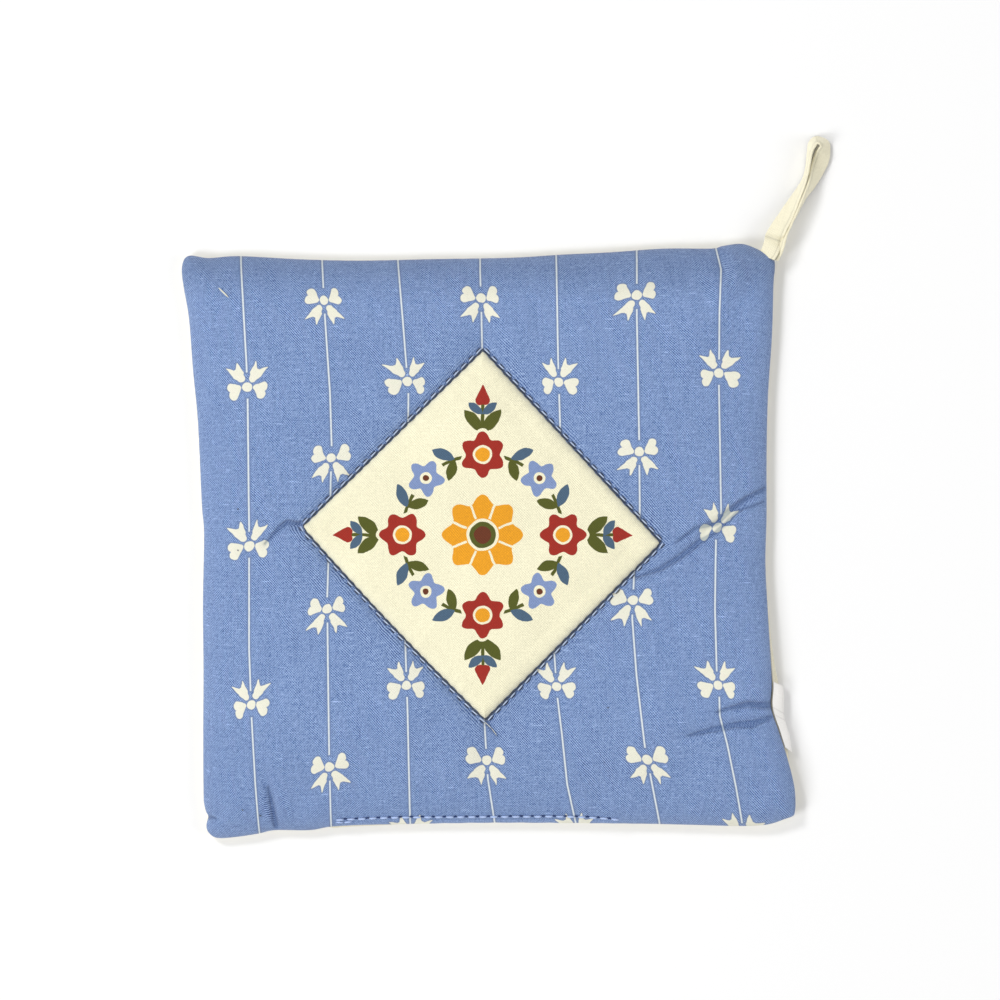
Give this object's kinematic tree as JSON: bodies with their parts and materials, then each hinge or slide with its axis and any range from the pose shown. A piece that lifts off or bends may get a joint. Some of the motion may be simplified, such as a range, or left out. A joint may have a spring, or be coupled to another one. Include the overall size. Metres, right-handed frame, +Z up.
{
  "type": "quilted pot holder",
  "caption": "Square padded pot holder with a blue cotton front, a quilted cream diamond patch, a cream back, a blank side label and a corner hanging loop.",
  "frame": {"origin": "on the surface that the pot holder lies on, under the middle of the pad", "axes": "+Z up out of the quilted front, +Y from the pad's middle towards its top edge and the loop's end, +X to the right seen from above"},
  "size_m": [0.2273, 0.2461, 0.0117],
  "materials": {
    "front": "matt printed plain-weave cotton",
    "back": "matt plain-weave cotton",
    "patch": "matt printed plain-weave cotton",
    "tape": "matt folded cotton tape",
    "label": "slightly shiny woven ribbon, blank",
    "stitching": "twisted sewing thread"
  },
  "bodies": {
    "root": {"front_panel": "front", "back_panel": "back", "diamond_patch": "patch", "hanging_loop": "tape", "label": "label"}
  },
  "joints": []
}
